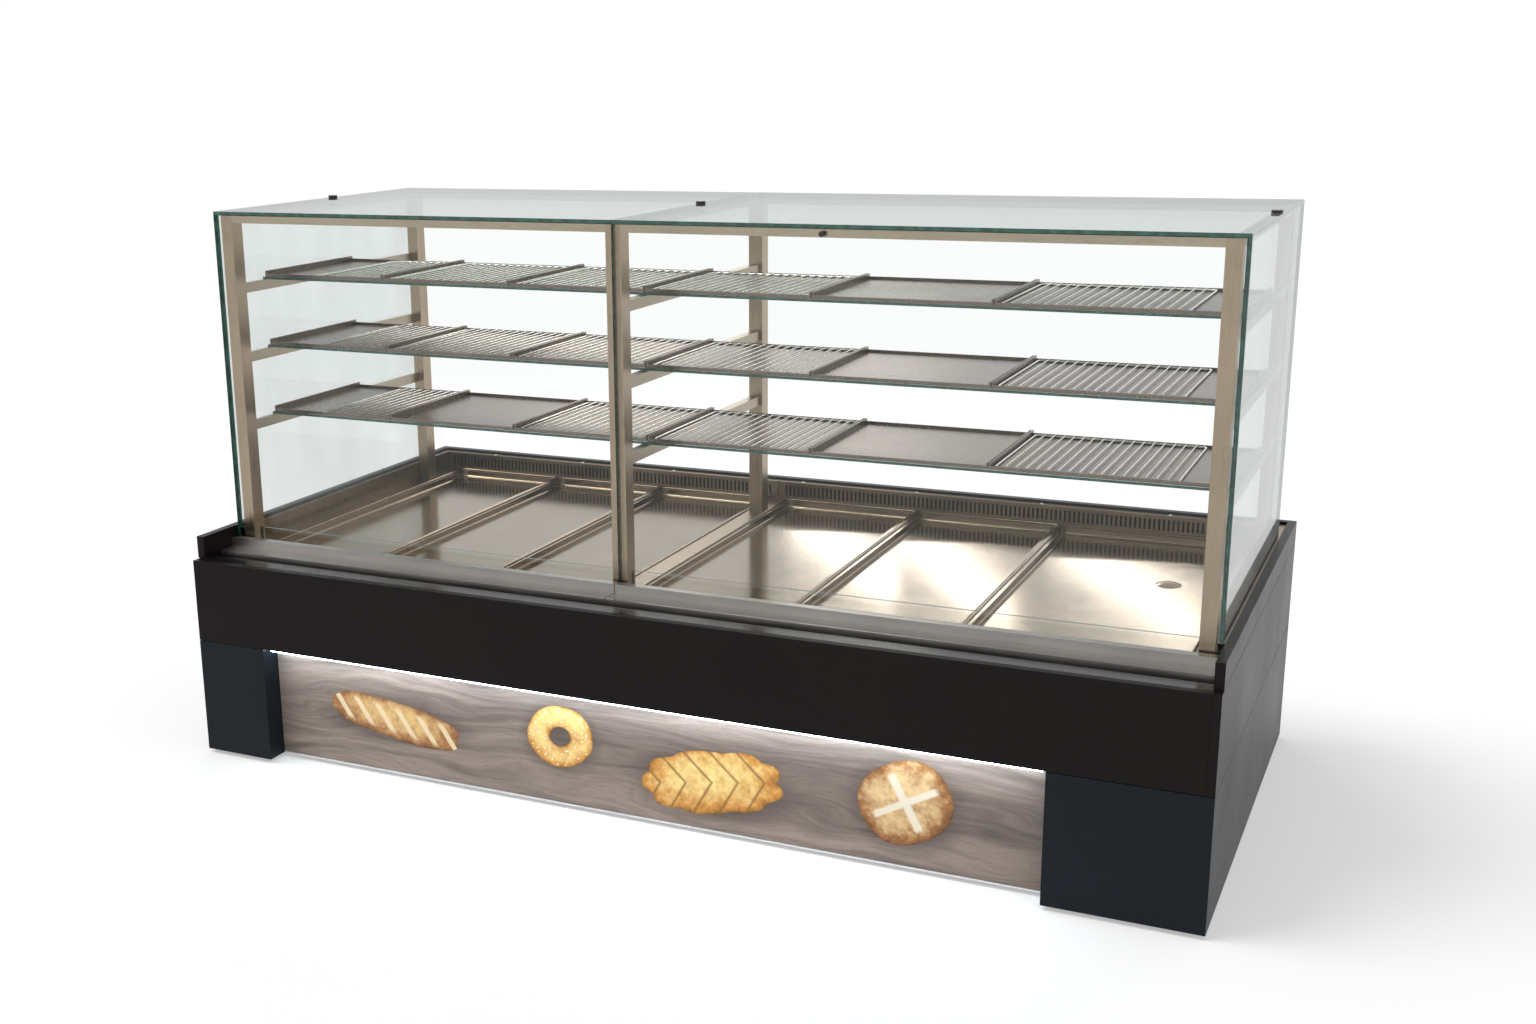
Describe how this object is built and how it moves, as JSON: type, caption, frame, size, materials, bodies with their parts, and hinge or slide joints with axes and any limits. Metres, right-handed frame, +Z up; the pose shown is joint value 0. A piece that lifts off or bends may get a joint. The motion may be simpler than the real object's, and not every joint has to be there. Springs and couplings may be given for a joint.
{
  "type": "heated pastry display case",
  "caption": "Long heated pastry display case: glass modules on steel posts with tray shelves, over warm wells set in a dark board base with a recessed lit front panel.",
  "frame": {"origin": "middle of the case on the floor, the centre of the bounding box's bottom", "axes": "+X along the case to the customer's right, -Y towards the customer, +Z up"},
  "size_m": [2.5, 1.2, 1.384],
  "materials": {
    "black_laminate": "black satin laminate",
    "blue_black_laminate": "blue-black satin laminate",
    "carcass_board": "plain board",
    "graphic_print": "printed wood grain",
    "edge_metal": "satin",
    "light_lens": "frosted, lit",
    "glide_plastic": "moulded",
    "warm_steel": "warm brushed",
    "nosing_steel": "brushed along the case",
    "well_steel": "satin",
    "deck_tray_steel": "satin",
    "shelf_tray_steel": "polished",
    "rack_chrome": "bright",
    "clear_glass": "clear, dark green edge",
    "clip_black": "black",
    "heater_steel": "dull",
    "fan_plastic": "moulded",
    "control_plastic": "fine texture"
  },
  "bodies": {
    "case": {"glides": "glide_plastic", "base_floor": "carcass_board", "sides_lower": "blue_black_laminate", "rear_panel_lower": "blue_black_laminate", "plinths": "blue_black_laminate", "graphic_backing": "carcass_board", "graphic_panel": "graphic_print", "graphic_edge": "edge_metal", "light_strip": "light_lens", "mid_board": "carcass_board", "sides_upper": "black_laminate", "fascia": "black_laminate", "ledge": "black_laminate", "rear_panel_upper": "black_laminate", "rims_side": "black_laminate", "rim_rear": "black_laminate", "box_beam": "carcass_board", "inner_boards": "carcass_board", "nosings": "nosing_steel", "well_left": "well_steel", "well_right": "well_steel", "vent_strips": "well_steel", "tray_rails": "well_steel", "centre_cap": "well_steel", "heaters": "heater_steel", "fan_frames": "fan_plastic", "posts": "warm_steel", "top_rails": "warm_steel", "shelf_bars": "warm_steel", "glass_front": "clear_glass", "glass_sides": "clear_glass", "glass_top": "clear_glass", "guard_panes": "clear_glass", "shelf_glass": "clear_glass", "glass_clips": "clip_black", "control_panel": "control_plastic", "power_gland": "control_plastic"},
    "deck_tray_left_1": {"deck_tray_left_1": "deck_tray_steel"},
    "deck_tray_left_2": {"deck_tray_left_2": "deck_tray_steel"},
    "deck_tray_left_3": {"deck_tray_left_3": "deck_tray_steel"},
    "deck_tray_right_1": {"deck_tray_right_1": "deck_tray_steel"},
    "deck_tray_right_2": {"deck_tray_right_2": "deck_tray_steel"},
    "deck_tray_right_3": {"deck_tray_right_3": "deck_tray_steel"},
    "shelf_set_left_low": {"shelf_trays_left_low": "shelf_tray_steel", "racks_left_low": "rack_chrome"},
    "shelf_set_right_low": {"shelf_trays_right_low": "shelf_tray_steel", "racks_right_low": "rack_chrome"},
    "shelf_set_left_mid": {"shelf_trays_left_mid": "shelf_tray_steel", "racks_left_mid": "rack_chrome"},
    "shelf_set_right_mid": {"shelf_trays_right_mid": "shelf_tray_steel", "racks_right_mid": "rack_chrome"},
    "shelf_set_left_top": {"shelf_trays_left_top": "shelf_tray_steel", "racks_left_top": "rack_chrome"},
    "shelf_set_right_top": {"shelf_trays_right_top": "shelf_tray_steel", "racks_right_top": "rack_chrome"},
    "fan_rotor_left": {"fan_rotor_left": "fan_plastic"},
    "fan_rotor_right": {"fan_rotor_right": "fan_plastic"},
    "thermostat": {"thermostat_knob": "control_plastic"},
    "heat_switch": {"heat_switch": "control_plastic"},
    "light_switch": {"light_switch": "control_plastic"}
  },
  "joints": [
    {"name": "deck_tray_left_1_lift", "type": "slide", "parent": "case", "child": "deck_tray_left_1", "axis": [0, 0, 1], "range_m": [0, 0.15]},
    {"name": "deck_tray_left_2_lift", "type": "slide", "parent": "case", "child": "deck_tray_left_2", "axis": [0, 0, 1], "range_m": [0, 0.15]},
    {"name": "deck_tray_left_3_lift", "type": "slide", "parent": "case", "child": "deck_tray_left_3", "axis": [0, 0, 1], "range_m": [0, 0.15]},
    {"name": "deck_tray_right_1_lift", "type": "slide", "parent": "case", "child": "deck_tray_right_1", "axis": [0, 0, 1], "range_m": [0, 0.15]},
    {"name": "deck_tray_right_2_lift", "type": "slide", "parent": "case", "child": "deck_tray_right_2", "axis": [0, 0, 1], "range_m": [0, 0.15]},
    {"name": "deck_tray_right_3_lift", "type": "slide", "parent": "case", "child": "deck_tray_right_3", "axis": [0, 0, 1], "range_m": [0, 0.15]},
    {"name": "shelf_set_left_low_lift", "type": "slide", "parent": "case", "child": "shelf_set_left_low", "axis": [0, 0, 1], "range_m": [0, 0.12]},
    {"name": "shelf_set_right_low_lift", "type": "slide", "parent": "case", "child": "shelf_set_right_low", "axis": [0, 0, 1], "range_m": [0, 0.12]},
    {"name": "shelf_set_left_mid_lift", "type": "slide", "parent": "case", "child": "shelf_set_left_mid", "axis": [0, 0, 1], "range_m": [0, 0.12]},
    {"name": "shelf_set_right_mid_lift", "type": "slide", "parent": "case", "child": "shelf_set_right_mid", "axis": [0, 0, 1], "range_m": [0, 0.12]},
    {"name": "shelf_set_left_top_lift", "type": "slide", "parent": "case", "child": "shelf_set_left_top", "axis": [0, 0, 1], "range_m": [0, 0.12]},
    {"name": "shelf_set_right_top_lift", "type": "slide", "parent": "case", "child": "shelf_set_right_top", "axis": [0, 0, 1], "range_m": [0, 0.12]},
    {"name": "fan_spin_left", "type": "hinge", "parent": "case", "child": "fan_rotor_left", "pos_m": [-0.6675, 0.505, 0.3845], "axis": [0, 1, 0], "continuous": true},
    {"name": "fan_spin_right", "type": "hinge", "parent": "case", "child": "fan_rotor_right", "pos_m": [0.5475, 0.505, 0.3845], "axis": [0, 1, 0], "continuous": true},
    {"name": "thermostat_turn", "type": "hinge", "parent": "case", "child": "thermostat", "pos_m": [0.835, 0.581, 0.415], "axis": [0, 1, 0], "range_deg": [0, 270]},
    {"name": "heat_switch_tip", "type": "hinge", "parent": "case", "child": "heat_switch", "pos_m": [0.91, 0.58675, 0.415], "axis": [1, 0, 0], "range_deg": [-16, 0]},
    {"name": "light_switch_tip", "type": "hinge", "parent": "case", "child": "light_switch", "pos_m": [0.96, 0.58675, 0.415], "axis": [1, 0, 0], "range_deg": [-16, 0]}
  ]
}
